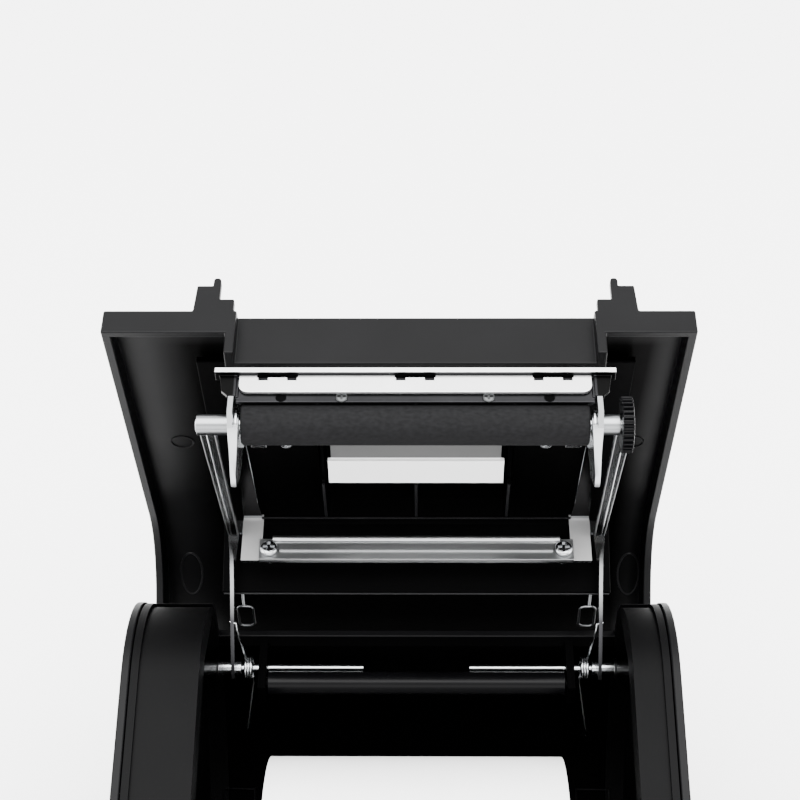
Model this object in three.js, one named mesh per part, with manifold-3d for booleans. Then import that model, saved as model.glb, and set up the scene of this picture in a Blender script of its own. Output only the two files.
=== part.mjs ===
// Thermal receipt printer for 80 mm paper, drawn with its lid standing open.
// Millimetres, +Z up, -Y is the front (paper exit) and +X the right-hand side.
// Every piece is drawn around the lid's hinge axis: x across, y to the back, z up from the axis.
// Pieces on the lid are drawn with the lid shut, inside a group that is then swung open.
import * as THREE from 'three';
import { mergeVertices } from 'three/addons/utils/BufferGeometryUtils.js';
import Module from 'manifold-3d';

const wasm = await Module();
wasm.setup();

// ---- driving dimensions ----
const HALF_WIDTH = 73;            // outside of the housing, from the middle
const LID_HALF_FRONT = 71.5;      // the lid's sides taper towards the front
const LID_HALF_REAR = 73.3;
const WALL = 2.3;                 // moulded wall
const GAP = 0.3;                  // clearance between separate pieces
const MECH_X = 4;                 // the print mechanism sits this far to the right
const REACH = 200;                // cutting tools run this far, past every piece
const HINGE_Y = 56.8;             // hinge axis, from the middle of the footprint
const HINGE_Z = 95;               // hinge axis above the table
const OPEN_ANGLE = 90;            // degrees that the lid stands open

const FLOOR_Z = -HINGE_Z;
const SHELL_BOTTOM = FLOOR_Z + 3;
const REAR_Y = 12;
const FRONT_Y = -158;
const COVER_REAR_Y = -122.3;      // where the front cover meets the lid
const COVER_BOTTOM = -19.7;

// the parting line between lid and base: an arc at the back, then a straight slope to the front
const ARC_Y = -18;
const ARC_Z = 6;
const ARC_R = 30;
const SLOPE = THREE.MathUtils.degToRad(10);

const LID_FRONT_Y = -121;
const LID_TOP_FRONT_Z = 26.7;
const LID_REAR_Y = 24;
const LID_REAR_Z = 14;
const LINER_HALF = 54.6;
const EXIT_HALF = 43.25;          // half of the paper exit between the ears
const EXIT_FACE_Y = -117;

const BIN_HALF_TOP = 56.7;        // between the cheeks' overhanging tops
const BIN_HALF = 62;              // between the bin's side walls
const BIN_FLOOR = -60.5;
const BIN_RIM = -12.5;            // top edge of the bin at the front
const CRADLE_R = 42.5;
const CRADLE_Z = -18;
const ARM_NOTCH = { front: 0, back: 20, low: 2 };   // lets the lid's arms swing through the rear wall

const RIB_PITCH = 25;             // stiffening ribs inside the lid
const LABEL_HALF = 23.3;            // blank label plate, stepped across its middle
const LABEL_Z = 23.2;
const LABEL_FRONT_Y = -76;
const LABEL_STEP_Y = -65;
const LABEL_REAR_Y = -56;

const PLATEN_Y = -112.5;
const PLATEN_Z = -2.8;
const PLATEN_R = 4.85;
const PLATEN_HALF = 40.75;
const BUSH_R = 2.45;

const ARM_IN = 51;                // hinge arms of the platen frame, from the mechanism's middle
const ARM_OUT = 52;
const CHEEK_IN = 42.4;
const CHEEK_OUT = 43.6;
const BLADE_IN = 41.1;            // the pointed front edge of each cheek is wider than the sheet
const FLANGE_IN = 48;             // the arms' front flanges, up to ARM_OUT
const SHEET = 1;                  // thickness of the platen frame
const RAIL_Y = -35.4;             // back of the cross rail, where it rests on the platen frame
const RAIL_SCREW_X = 40.3;
const RAIL_SCREW_Z = 15.2;
const SIDE_IN = 45;               // side frames of the base
const SIDE_OUT = 46.4;

const SHAFT_R = 2;
const SHAFT_HALF = 63.8;
const PIN_INNER = 15;             // inner ends of the two hinge pins
const GUIDE_R = 3.25;
const GUIDE_Y = -5.3;
const GUIDE_Z = 0.5;
const GUIDE_HALF = 41.8;
const LUG_IN = 42.2;              // the lugs that hold the guide bar
const LUG_OUT = 44.4;
const SPRING_IN = 45.8;           // torsion springs on the hinge pins
const SPRING_OUT = 49.2;
const SPRING_R = 3.4;

const ROLL_Y = -62.8;
const ROLL_Z = -20;
const ROLL_R = 40;
const ROLL_HALF = 39.75;
const CORE_R = 9;
const CORE_BORE_R = 6.3;

const GEAR_MODULE = 0.42;         // platen gear and the pinion that it meets
const PLATEN_TEETH = 30;
const DRIVE_MODULE = 0.5;         // reduction gear and motor pinion
const REDUCTION_Y = PLATEN_Y - 7.5;
const REDUCTION_Z = PLATEN_Z - 7.5;
const REDUCTION_TEETH = 60;
const PINION_TEETH = 14;
const GEAR_IN = 48.2;             // inner face of both, from the mechanism's middle
const GEAR_WIDTH = 2.6;
const MOTOR_TEETH = 12;
const MOTOR_Y = REDUCTION_Y - 8;
const MOTOR_DISTANCE = DRIVE_MODULE * (REDUCTION_TEETH + MOTOR_TEETH) / 2;
const MOTOR_Z = REDUCTION_Z - Math.sqrt(MOTOR_DISTANCE ** 2 - 8 ** 2);
const MOTOR_R = 12;

const HOLDER_HALF = 42;           // knife holder and print head sink
const HOLDER_Y = -118;
const KNIFE_EDGE_HALF = 47.2;
const KNIFE_EDGE_Z = 8.1;         // top of the edge that the moving blade passes over
const KNIFE_NOTCH_PITCH = 32.4;

const BLADE_Z = KNIFE_EDGE_Z + 1.45;
const BLADE_THICK = 0.7;
const RACK_MODULE = 0.8;
const CUTTER_TEETH = 12;
const RACK_X = 30;
const CUTTER_Y = -141.5;
const CUTTER_X = RACK_X + RACK_MODULE * CUTTER_TEETH / 2;

const HEAD_TOP = -0.9;            // upper edge of the print head
const HEAD_PIVOT_Y = -121;
const HEAD_PIVOT_Z = -13.4;

const LATCH_Y = -136;
const LATCH_Z = -44;
const HOOK_OUT = 47.8;

const FOOT_X = 58;
const FOOT_FRONT_Y = -144;
const FOOT_REAR_Y = -4;
const FOOT_R = 7;

const SOCKET_LOW = -83.7;         // row of sockets and the switch in the rear wall
const SOCKET_TOP = -70.3;
const SOCKET_INNER_Y = -4;
const SOCKETS = {                 // left and right side of each
  power_switch_body: [-62.7, -46.3],
  power_socket: [-35.7, -24.3],
  usb_socket: [-13.7, -2.3],
  network_socket: [8.3, 23.7],
  drawer_socket: [34.3, 49.7],
};

// ---- colours ----
const black = (roughness = 0.55) => ({ color: 0x1b1b1d, roughness, metalness: 0 });
const steel = { color: 0xc8cacc, roughness: 0.25, metalness: 1 };
const darkSteel = { color: 0x4a4a4d, roughness: 0.4, metalness: 1 };
const rubber = { color: 0x2b2b2d, roughness: 0.9, metalness: 0 };
const paper = { color: 0xf4f4f2, roughness: 0.9, metalness: 0 };
const board = { color: 0x1f5a34, roughness: 0.6, metalness: 0 };
const aluminium = { color: 0xb9bbbe, roughness: 0.4, metalness: 1 };
const cardboard = { color: 0xb08d62, roughness: 0.9, metalness: 0 };
const clear = { color: 0x9fb8c8, roughness: 0.2, metalness: 0 };

// ---- solids ----
function solid(geometry) {
  geometry.deleteAttribute('normal');
  geometry.deleteAttribute('uv');
  const merged = mergeVertices(geometry, 1e-4);
  return new wasm.Manifold(new wasm.Mesh({
    numProp: 3,
    vertProperties: Float32Array.from(merged.attributes.position.array),
    triVerts: Uint32Array.from(merged.index.array),
  }));
}

function join(...parts) {
  return parts.reduce((whole, part) => whole.add(part));
}

function cut(whole, ...parts) {
  return parts.reduce((rest, part) => rest.subtract(part), whole);
}

function shapeOf(outline) {
  return Array.isArray(outline) ? new THREE.Shape(outline.map(([u, v]) => new THREE.Vector2(u, v))) : outline;
}

function extrude(outline, depth) {
  return new THREE.ExtrudeGeometry(shapeOf(outline), { depth, bevelEnabled: false, curveSegments: 12 });
}

// an outline in the (y, z) plane, swept across from x0 to x1
function across(outline, x0, x1) {
  const place = new THREE.Matrix4().set(0, 0, 1, x0, 1, 0, 0, 0, 0, 1, 0, 0, 0, 0, 0, 1);
  return solid(extrude(outline, x1 - x0).applyMatrix4(place));
}

// an outline in the (x, z) plane, swept back from y0 to y1
function backward(outline, y0, y1) {
  const place = new THREE.Matrix4().set(1, 0, 0, 0, 0, 0, -1, y1, 0, 1, 0, 0, 0, 0, 0, 1);
  return solid(extrude(outline, y1 - y0).applyMatrix4(place));
}

// an outline in the (x, y) plane, swept up from z0 to z1
function upward(outline, z0, z1) {
  return solid(extrude(outline, z1 - z0).translate(0, 0, z0));
}

function box(x0, x1, y0, y1, z0, z1) {
  const geometry = new THREE.BoxGeometry(x1 - x0, y1 - y0, z1 - z0);
  return solid(geometry.translate((x0 + x1) / 2, (y0 + y1) / 2, (z0 + z1) / 2));
}

// everything between two x values
function slice(x0, x1) {
  return box(x0, x1, -REACH, REACH, -REACH, REACH);
}

// a round bar along x
function bar(y, z, radius, x0, x1, sides = 24) {
  const geometry = new THREE.CylinderGeometry(radius, radius, x1 - x0, sides).rotateZ(Math.PI / 2);
  return solid(geometry.translate((x0 + x1) / 2, y, z));
}

// a round bar along y
function beam(x, z, radius, y0, y1, sides = 24) {
  return solid(new THREE.CylinderGeometry(radius, radius, y1 - y0, sides).translate(x, (y0 + y1) / 2, z));
}

// a round post along z
function post(x, y, radius, z0, z1, sides = 24) {
  const geometry = new THREE.CylinderGeometry(radius, radius, z1 - z0, sides).rotateX(Math.PI / 2);
  return solid(geometry.translate(x, y, (z0 + z1) / 2));
}

// a mirrored pair about the mechanism's middle: make(inner, outer) gets the two x values
function pair(make, inner, outer) {
  return join(make(MECH_X - outer, MECH_X - inner), make(MECH_X + inner, MECH_X + outer));
}

// an outline in the (x, y) or (x, z) plane, drawn for the right-hand end, at both ends of the mechanism
function mirrored(outline) {
  return [outline.map(([x, v]) => [MECH_X + x, v]), outline.map(([x, v]) => [MECH_X - x, v]).reverse()];
}

// a spur gear's outline, one tooth centred on angle `phase`
function gearShape(teeth, module, phase, boreR) {
  const pitch = teeth * module / 2;
  const tip = pitch + module * 0.95;
  const root = pitch - module * 1.2;
  const step = 2 * Math.PI / teeth;
  const corners = [[-0.29, root], [-0.13, tip], [0.13, tip], [0.29, root]];
  const points = [];
  for (let i = 0; i < teeth; i += 1) {
    for (const [share, radius] of corners) {
      const angle = phase + (i + share) * step;
      points.push(new THREE.Vector2(radius * Math.cos(angle), radius * Math.sin(angle)));
    }
  }
  const shape = new THREE.Shape(points);
  if (boreR) shape.holes.push(new THREE.Path().absarc(0, 0, boreR, 0, 2 * Math.PI, true));
  return shape;
}

function gearAcross(teeth, module, phase, y, z, x0, x1, boreR) {
  return across(gearShape(teeth, module, phase, boreR), x0, x1).translate([0, y, z]);
}

// how high the arc of the parting line, moved out by `offset`, stands at `y`
function arcHeight(offset, y) {
  return ARC_Z + Math.sqrt((ARC_R + offset) ** 2 - (y - ARC_Y) ** 2);
}

// the parting line from the back to the front, moved out by `offset`
function partingLine(offset, frontY, backZ) {
  const radius = ARC_R + offset;
  const start = Math.asin((backZ - ARC_Z) / radius);
  const end = Math.PI / 2 + SLOPE;
  const points = [];
  for (let i = 0; i <= 10; i += 1) {
    const angle = start + (end - start) * i / 10;
    points.push([ARC_Y + radius * Math.cos(angle), ARC_Z + radius * Math.sin(angle)]);
  }
  const [lastY, lastZ] = points[points.length - 1];
  points.push([frontY, lastZ - (lastY - frontY) * Math.tan(SLOPE)]);
  return points;
}

// ---- scene ----
const printer = new THREE.Group();
const base = new THREE.Group();
const lid = new THREE.Group();
base.position.set(0, HINGE_Y, HINGE_Z);
lid.position.set(0, HINGE_Y, HINGE_Z);
lid.rotation.x = -THREE.MathUtils.degToRad(OPEN_ANGLE);
printer.add(base, lid);

function addPiece(group, name, piece, look) {
  const mesh = piece.getMesh();
  const geometry = new THREE.BufferGeometry();
  geometry.setAttribute('position', new THREE.BufferAttribute(mesh.vertProperties, 3));
  geometry.setIndex(new THREE.BufferAttribute(mesh.triVerts, 1));
  geometry.computeVertexNormals();
  const node = new THREE.Mesh(geometry, new THREE.MeshStandardMaterial(look));
  node.name = name;
  group.add(node);
}

// ---- lid ----
function lidOutline(inset, low) {
  const shape = new THREE.Shape();
  const front = LID_FRONT_Y + inset;
  const back = LID_REAR_Y - inset;
  shape.moveTo(front, low);
  shape.lineTo(front, LID_TOP_FRONT_Z - 1 - inset);
  shape.lineTo(front + 1, LID_TOP_FRONT_Z - inset);
  shape.lineTo(-24, 44.2 - inset);
  shape.bezierCurveTo(-4, 47.9 - inset, back, 40 - inset, back, LID_REAR_Z);
  return shape;
}

// everything between the lid's tapered sides, `inset` in from their outer faces
function betweenSides(inset) {
  const front = LID_HALF_FRONT - inset;
  const rear = LID_HALF_REAR - inset;
  return upward([[-front, LID_FRONT_Y - 1], [front, LID_FRONT_Y - 1], [rear, LID_REAR_Y], [-rear, LID_REAR_Y]],
    -REACH, REACH);
}

function lidShell() {
  const outer = lidOutline(0, 0);
  outer.lineTo(LID_REAR_Y, LID_REAR_Z);
  const below = -20;
  const ahead = LID_FRONT_Y - 9;
  const body = across(outer, -REACH, REACH).intersect(betweenSides(0));
  const belowRim = partingLine(0.5, ahead, LID_REAR_Z);
  const under = across([[40, below], [40, LID_REAR_Z], ...belowRim, [ahead, below]], -REACH, REACH);
  const hollow = lidOutline(WALL, below);
  hollow.lineTo(LID_REAR_Y - WALL, below);
  const inside = across(hollow, -REACH, REACH).intersect(betweenSides(WALL));
  const mouth = box(MECH_X - EXIT_HALF, MECH_X + EXIT_HALF, LID_FRONT_Y - 2, EXIT_FACE_Y, 0, 40);
  const exitFace = box(MECH_X - EXIT_HALF - WALL, MECH_X + EXIT_HALF + WALL,
    EXIT_FACE_Y, EXIT_FACE_Y + WALL, 12.4, LID_TOP_FRONT_Z);
  const returns = pair((a, b) => box(a, b, LID_FRONT_Y, EXIT_FACE_Y + WALL, 12.4, LID_TOP_FRONT_Z - 1),
    EXIT_HALF, EXIT_HALF + WALL);
  const ear = [[54, 24], [53.4, 34.3], [49.5, 34.3], [49.5, 36.3], [49.1, 36.9], [48, 36.9], [47.6, 36.3],
    [47.6, 29.8], [44, 29.8], [44, 24]];
  const ears = join(...mirrored(ear).map((outline) => backward(outline, LID_FRONT_Y, LID_FRONT_Y + WALL)));
  return join(cut(body, under, inside, mouth), exitFace, returns, ears);
}
addPiece(lid, 'lid_shell', lidShell(), black());

function lidLiner() {
  const sheet = across([[-104, 24.2], [-104, 26.2], [-34, 36.5], [-24, 34], [-15, 15], [-17, 14.2], [-25.5, 32],
    [-34, 34.3]], MECH_X - LINER_HALF, MECH_X + LINER_HALF);
  const rib = [[-101, 22.2], [-101, 25], [-36, 34.5], [-34, 31], [-36, 27], [-52, 24.6]];
  const ribs = [-RIB_PITCH, 0, RIB_PITCH].map((x) => across(rib, MECH_X + x - 0.7, MECH_X + x + 0.7));
  const labelRoom = box(MECH_X - LABEL_HALF - 2, MECH_X + LABEL_HALF + 2, LABEL_FRONT_Y - GAP, LABEL_REAR_Y + GAP,
    20, LABEL_Z + 2.5);
  return join(sheet, cut(join(...ribs), labelRoom));
}
addPiece(lid, 'lid_liner', lidLiner(), black(0.7));

addPiece(lid, 'label_plate', join(
  box(MECH_X - LABEL_HALF, MECH_X + LABEL_HALF, LABEL_STEP_Y - 0.4, LABEL_REAR_Y, LABEL_Z, LABEL_Z + 1.2),
  box(MECH_X - LABEL_HALF + 0.8, MECH_X + LABEL_HALF - 0.8, LABEL_FRONT_Y, LABEL_STEP_Y, LABEL_Z + 1, LABEL_Z + 2.2),
), paper);

// the sheet-steel frame on the lid that carries the platen and hangs on the hinge pins: two arms with
// flanges along their front edges, a pointed cheek at each end of the platen, tapered strips from the
// cheeks, and a flange that carries the rail
function platenFrame() {
  const flangeOut = 48;
  const arm = [[-2, -5], [3, -4.4], [5, 0], [3.6, 4.4], [-10, 7], [-16, 11.6], [-22, 21.4], [-30, 27.4],
    [-42, 28.4], [-104, 4.6], [-104, 1.6], [-35, 20.7], [-29, 19.6], [-22, 13.4], [-14, 4.6], [-6, -2.4]];
  const arms = pair((a, b) => across(arm, a, b), ARM_IN, ARM_OUT);
  const armEdge = [[-104, 1.6], [-35, 20.7], [-27, 18.2], [-27.5, 19.3], [-34.8, 21.7], [-104, 2.6]];
  const flangePlan = [[FLANGE_IN, -105], [ARM_OUT, -105], [ARM_OUT, -26], [ARM_IN - 0.6, -26], [49, -35]];
  const armFlanges = pair((a, b) => across(armEdge, a, b), FLANGE_IN, ARM_OUT)
    .intersect(join(...mirrored(flangePlan).map((outline) => upward(outline, 0, 30))));
  const flangeY = RAIL_Y + GAP;
  const bend = [[-98, 19.2], [-42, 26.8], [flangeY, 26.8], [flangeY, 12.5], [flangeY + SHEET, 12.5],
    [flangeY + SHEET, 27.8], [-42, 27.8], [-98, 20.2]];
  const strips = pair((a, b) => across(bend, a, b), CHEEK_IN, flangeOut);
  const outerTaper = [[45.2, -99], [60, -99], [60, -42], [flangeOut, -42]];
  const innerTaper = [[30, -92.5], [44.8, -92.5], [44.8, -88], [43.6, -42], [42.8, RAIL_Y], [30, RAIL_Y]];
  const tapers = [outerTaper, innerTaper].flatMap((plan) => mirrored(plan).map((outline) => upward(outline, 15, 40)));
  const crossStrip = box(MECH_X - flangeOut, MECH_X + flangeOut, flangeY, flangeY + SHEET, 12.5, 18.5);
  const armTabs = pair((a, b) => box(a, b, flangeY, flangeY + SHEET, 22, 26), flangeOut - 1, ARM_OUT);
  const cheek = [[-92, 19], [-92, 9], [-94, -4], [-100.5, -12], [-104, -11.4], [-110, -8.6], [-117, -7.4],
    [-119.6, -4.5], [-119.4, 0.2], [-116.8, 0.7], [-116.6, 6.4], [-98, 20.2]];
  const cheeks = pair((a, b) => across(cheek, a, b), CHEEK_IN, CHEEK_OUT);
  const cheekEdge = [[-117, -7.4], [-117, -6.4], [-110, -7.6], [-104, -10.4], [-100.5, -11], [-100.5, -12],
    [-104, -11.4], [-110, -8.6]];
  const point = mirrored([[BLADE_IN, -117.5], [CHEEK_OUT, -117.5], [CHEEK_OUT, -106], [43, -100], [42.8, -100]]);
  const blades = pair((a, b) => across(cheekEdge, a, b), BLADE_IN, CHEEK_OUT)
    .intersect(join(...point.map((outline) => upward(outline, -20, 0))));
  const bushHole = bar(PLATEN_Y, PLATEN_Z, BUSH_R + GAP, MECH_X - 46, MECH_X + 46);
  const hingeHole = bar(0, 0, SHAFT_R + GAP, MECH_X - ARM_OUT - 1, MECH_X + ARM_OUT + 1);
  return cut(join(cut(strips, ...tapers), arms, armFlanges, cheeks, blades, crossStrip, armTabs),
    bushHole, hingeHole, ...railScrewHoles());
}

function railScrewHoles() {
  return [-1, 1].map((side) => beam(MECH_X + side * RAIL_SCREW_X, RAIL_SCREW_Z, 1.3, -44, -30));
}
addPiece(lid, 'platen_frame', platenFrame(), steel);

// a formed strip with a round bead and a flat bead along it
function crossRail() {
  const half = 43;
  const beadHalf = 39.4;
  const strip = box(MECH_X - half, MECH_X + half, RAIL_Y - 1, RAIL_Y, 12, 18.8);
  const roundBead = bar(RAIL_Y - 1, 18.6, 1, MECH_X - beadHalf, MECH_X + beadHalf, 16);
  const flatBead = box(MECH_X - beadHalf + 2, MECH_X + beadHalf - 2, RAIL_Y - 1.6, RAIL_Y - 0.5, 14.6, 16.8);
  return cut(join(strip, roundBead, flatBead), ...railScrewHoles());
}
addPiece(lid, 'cross_rail', crossRail(), steel);
for (const [name, side] of [['rail_screw_left', -1], ['rail_screw_right', 1]]) {
  const x = MECH_X + side * RAIL_SCREW_X;
  const headY = RAIL_Y - 1.3;
  addPiece(lid, name, join(beam(x, RAIL_SCREW_Z, 2.45, headY - 1.3, headY), beam(x, RAIL_SCREW_Z, 1, headY - 0.5, -31)),
    steel);
}

// the folded holder: a wide top edge, an end flange at each side and a plate that runs down beside the platen
function knifeHolder() {
  const left = MECH_X - HOLDER_HALF;
  const right = MECH_X + HOLDER_HALF;
  const plateTop = KNIFE_EDGE_Z - 0.6;
  const plate = box(left, right, HOLDER_Y, HOLDER_Y + 0.8, -0.4, plateTop);
  const edge = box(MECH_X - KNIFE_EDGE_HALF, MECH_X + KNIFE_EDGE_HALF, HOLDER_Y - 2.2, HOLDER_Y + 0.8,
    KNIFE_EDGE_Z - 1.2, KNIFE_EDGE_Z);
  const rearFlange = box(left, right, HOLDER_Y, HOLDER_Y + 5, KNIFE_EDGE_Z - 1, KNIFE_EDGE_Z);
  const flanges = mirrored([[HOLDER_HALF, plateTop], [46.2, plateTop], [45.4, 2.2], [44, 0.8], [HOLDER_HALF, 0.8]])
    .map((outline) => backward(outline, HOLDER_Y - 1, HOLDER_Y));
  const bends = pair((a, b) => box(a, b, HOLDER_Y - 0.4, HOLDER_Y + 0.8, 0.8, plateTop), HOLDER_HALF - 0.5, 44);
  return join(plate, edge, rearFlange, ...flanges, bends);
}
addPiece(lid, 'knife_holder', knifeHolder(), darkSteel);

function fixedKnife() {
  const half = 41.4;
  const top = KNIFE_EDGE_Z - 1.3;
  const bottom = 1.7;
  const corner = 2.2;
  const outline = new THREE.Shape();
  outline.moveTo(MECH_X - half, top);
  outline.lineTo(MECH_X - half, bottom + corner);
  outline.absarc(MECH_X - half + corner, bottom + corner, corner, Math.PI, 1.5 * Math.PI);
  outline.absarc(MECH_X + half - corner, bottom + corner, corner, 1.5 * Math.PI, 2 * Math.PI);
  outline.lineTo(MECH_X + half, top);
  const plate = backward(outline, -119.2, -118.3);
  const middles = [-KNIFE_NOTCH_PITCH, 0, KNIFE_NOTCH_PITCH].map((offset) => MECH_X + offset);
  const slot = (x, half, low) => box(x - half, x + half, -121, -117, low, 9);
  const notches = middles.flatMap((x) => [
    slot(x - 3.4, 1.1, top - 1.5), slot(x + 3.4, 1.1, top - 1.5), slot(x, 4.8, top - 0.6),
  ]);
  return cut(plate, ...notches);
}
addPiece(lid, 'fixed_knife', fixedKnife(), steel);

const platenTube = cut(bar(PLATEN_Y, PLATEN_Z, PLATEN_R, MECH_X - PLATEN_HALF, MECH_X + PLATEN_HALF, 40),
  bar(PLATEN_Y, PLATEN_Z, BUSH_R + GAP, MECH_X - 60, MECH_X + 60));
addPiece(lid, 'platen_roller', platenTube, rubber);
addPiece(lid, 'platen_shaft', join(
  bar(PLATEN_Y, PLATEN_Z, BUSH_R, MECH_X - 41, MECH_X + 41),
  bar(PLATEN_Y, PLATEN_Z, 1.6, MECH_X - 51.6, MECH_X + GEAR_IN + GEAR_WIDTH - 0.2),
), steel);
for (const [name, from, to] of [['bushing_left', -51.3, -41.3], ['bushing_right', 41.3, 47.9]]) {
  const sleeve = cut(bar(PLATEN_Y, PLATEN_Z, BUSH_R, MECH_X + from, MECH_X + to),
    bar(PLATEN_Y, PLATEN_Z, 1.9, MECH_X - 60, MECH_X + 60));
  addPiece(lid, name, sleeve, steel);
}
addPiece(lid, 'platen_gear', gearAcross(PLATEN_TEETH, GEAR_MODULE, 0, PLATEN_Y, PLATEN_Z,
  MECH_X + GEAR_IN, MECH_X + GEAR_IN + GEAR_WIDTH, 1.9), black(0.4));

// ---- base housing ----
function baseShell() {
  const rear = REAR_Y - 0.5;
  const top = partingLine(0.2, COVER_REAR_Y + GAP, arcHeight(0.2, rear));
  const outline = [[FRONT_Y, SHELL_BOTTOM], [rear, SHELL_BOTTOM], ...top,
    [COVER_REAR_Y + GAP, COVER_BOTTOM - GAP], [FRONT_Y, COVER_BOTTOM - GAP]];
  const body = across(outline, -HALF_WIDTH, HALF_WIDTH);
  const room = box(-HALF_WIDTH + WALL, HALF_WIDTH - WALL, FRONT_Y + WALL, rear - WALL, -REACH, REACH);
  const holes = Object.values(SOCKETS).map(([x0, x1]) => (
    box(x0 - GAP, x1 + GAP, 0, REACH, SOCKET_LOW - GAP, SOCKET_TOP + GAP)));
  return cut(body, room, armNotch(), ...holes);
}

function armNotch() {
  return box(MECH_X - BIN_HALF_TOP, MECH_X + BIN_HALF_TOP, ARM_NOTCH.front, ARM_NOTCH.back, ARM_NOTCH.low, REACH);
}
addPiece(base, 'base_shell', baseShell(), black());

// the bin that holds the roll, and the two cheeks beside it, which are separate mouldings
function binAndCheeks() {
  const outer = HALF_WIDTH - WALL - GAP;
  const back = REAR_Y - 0.5 - WALL - GAP;
  const front = COVER_REAR_Y + 0.8;
  const wallY = 6;
  const rearY = ROLL_Y + 22;
  const top = partingLine(-1.2, front, arcHeight(-1.2, back));
  const under = -66;
  const frontWall = -108;
  const body = across([[frontWall, under], [back, under], ...top, [front, -12], [frontWall, -12]], -outer, outer);
  const lipBack = arcHeight(-0.2, back);
  const lipTop = partingLine(-0.2, front, lipBack);
  const lipBottom = partingLine(-4, front, lipBack).reverse();
  const lips = [[-outer, -outer + 2], [outer - 2, outer]].map(([a, b]) => across([...lipTop, ...lipBottom], a, b));
  const cradle = new THREE.Shape();
  cradle.moveTo(wallY, 60);
  cradle.lineTo(wallY, CRADLE_Z);
  cradle.absarc(rearY, CRADLE_Z, CRADLE_R, -0.5, -Math.PI / 2, true);
  cradle.lineTo(ROLL_Y, BIN_FLOOR);
  cradle.absarc(ROLL_Y, CRADLE_Z, CRADLE_R, -Math.PI / 2, -Math.PI, true);
  cradle.lineTo(ROLL_Y - CRADLE_R, BIN_RIM);
  cradle.lineTo(-140, BIN_RIM);
  cradle.lineTo(-140, 60);
  const upper = across(cradle, MECH_X - BIN_HALF_TOP, MECH_X + BIN_HALF_TOP);
  const wide = across(cradle, MECH_X - BIN_HALF, MECH_X + BIN_HALF)
    .intersect(across([[6, -70], [6, 18], [-14, 26], [-140, 4], [-140, -70]], -REACH, REACH));
  const leftHollow = box(-outer + WALL, MECH_X - BIN_HALF - 2, -106, 0, -70, 12);
  const pinHole = bar(0, 0, SHAFT_R + GAP, MECH_X - SHAFT_HALF - GAP, MECH_X + SHAFT_HALF + GAP);
  const frontRoom = box(MECH_X - BIN_HALF, MECH_X + BIN_HALF, -REACH, -105.3, BIN_RIM, REACH);
  const lugs = pair((a, b) => box(a, b, -8.9, 7, -4.5, 3.9), LUG_IN, LUG_OUT);
  const guideHole = bar(GUIDE_Y, GUIDE_Z, 1.8, MECH_X - 46, MECH_X + 46);
  const hollowed = cut(join(body, ...lips), upper, wide, leftHollow, armNotch(), frontRoom);
  const gearRoom = box(55.4, 59.6, -109, -104, -30, -12);
  return cut(join(hollowed, lugs), pinHole, guideHole, gearRoom);
}
const binSolid = binAndCheeks();
const seam = BIN_HALF_TOP - 0.5;
addPiece(base, 'paper_bin', binSolid.intersect(slice(MECH_X - seam, MECH_X + seam)), black(0.6));
addPiece(base, 'cheek_left', binSolid.intersect(slice(-REACH, MECH_X - seam - GAP)), black(0.6));
addPiece(base, 'cheek_right', binSolid.intersect(slice(MECH_X + seam + GAP, REACH)), black(0.6));

addPiece(base, 'bottom_plate', box(-69.9, 69.9, -155.2, 8.8, SHELL_BOTTOM, SHELL_BOTTOM + 2), black(0.7));
for (const [end, y] of [['front', FOOT_FRONT_Y], ['rear', FOOT_REAR_Y]]) {
  for (const [side, x] of [['left', -FOOT_X], ['right', FOOT_X]]) {
    addPiece(base, `foot_${end}_${side}`, post(x, y, FOOT_R, FLOOR_Z, SHELL_BOTTOM - GAP), rubber);
  }
}

// ---- front cover ----
function coverOutline(topZ, inset) {
  const front = FRONT_Y + inset;
  const bottom = inset ? -60 : COVER_BOTTOM;
  const shape = new THREE.Shape();
  shape.moveTo(front, bottom);
  shape.lineTo(inset ? 0 : COVER_REAR_Y, bottom);
  shape.lineTo(inset ? 0 : COVER_REAR_Y, topZ - inset);
  shape.lineTo(inset ? COVER_REAR_Y - WALL : COVER_REAR_Y, topZ - inset);
  shape.lineTo(-150, topZ - 6 - inset);
  shape.bezierCurveTo(-156, topZ - 7.4 - inset, front, topZ - 10 - inset, front, topZ - 18);
  return shape;
}

function frontCover() {
  const humpHalf = 56;
  const humpTop = 34;
  const wallY = COVER_REAR_Y - WALL;
  const low = across(coverOutline(LID_TOP_FRONT_Z, 0), -HALF_WIDTH, HALF_WIDTH);
  const hump = across(coverOutline(humpTop, 0), MECH_X - humpHalf, MECH_X + humpHalf);
  const rearWall = pair((a, b) => box(a, b, wallY, COVER_REAR_Y, COVER_BOTTOM, LID_TOP_FRONT_Z - WALL + 0.5), 60, 62);
  const topWall = box(MECH_X - humpHalf + 2, MECH_X + humpHalf - 2, wallY, COVER_REAR_Y, 15, humpTop - 1);
  const room = across(coverOutline(LID_TOP_FRONT_Z, WALL), -HALF_WIDTH + WALL, HALF_WIDTH - WALL);
  const humpRoom = across(coverOutline(humpTop, WALL), MECH_X - humpHalf + WALL, MECH_X + humpHalf - WALL);
  const buttonHole = box(39.7, 54.3, -160, -150, -14.3, -5.7);
  const lensHole = box(19.7, 34.3, -160, -150, -12.3, -7.7);
  const releaseHole = box(61.7, 67.3, -152.3, -143.7, 0, 40);
  return cut(join(cut(join(low, hump), room, humpRoom), topWall, rearWall), buttonHole, lensHole, releaseHole);
}
addPiece(base, 'front_cover', frontCover(), black());

function tearBar() {
  const half = 41;
  const bottom = 27;
  const root = 34;
  const outline = [[MECH_X - half, bottom], [MECH_X + half, bottom]];
  for (let x = half; x > -half; x -= 2) {
    outline.push([MECH_X + x, root], [MECH_X + x - 1, root + 1.4]);
  }
  outline.push([MECH_X - half, root]);
  return backward(outline, COVER_REAR_Y + GAP, COVER_REAR_Y + 1);
}
addPiece(base, 'tear_bar', tearBar(), steel);

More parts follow.
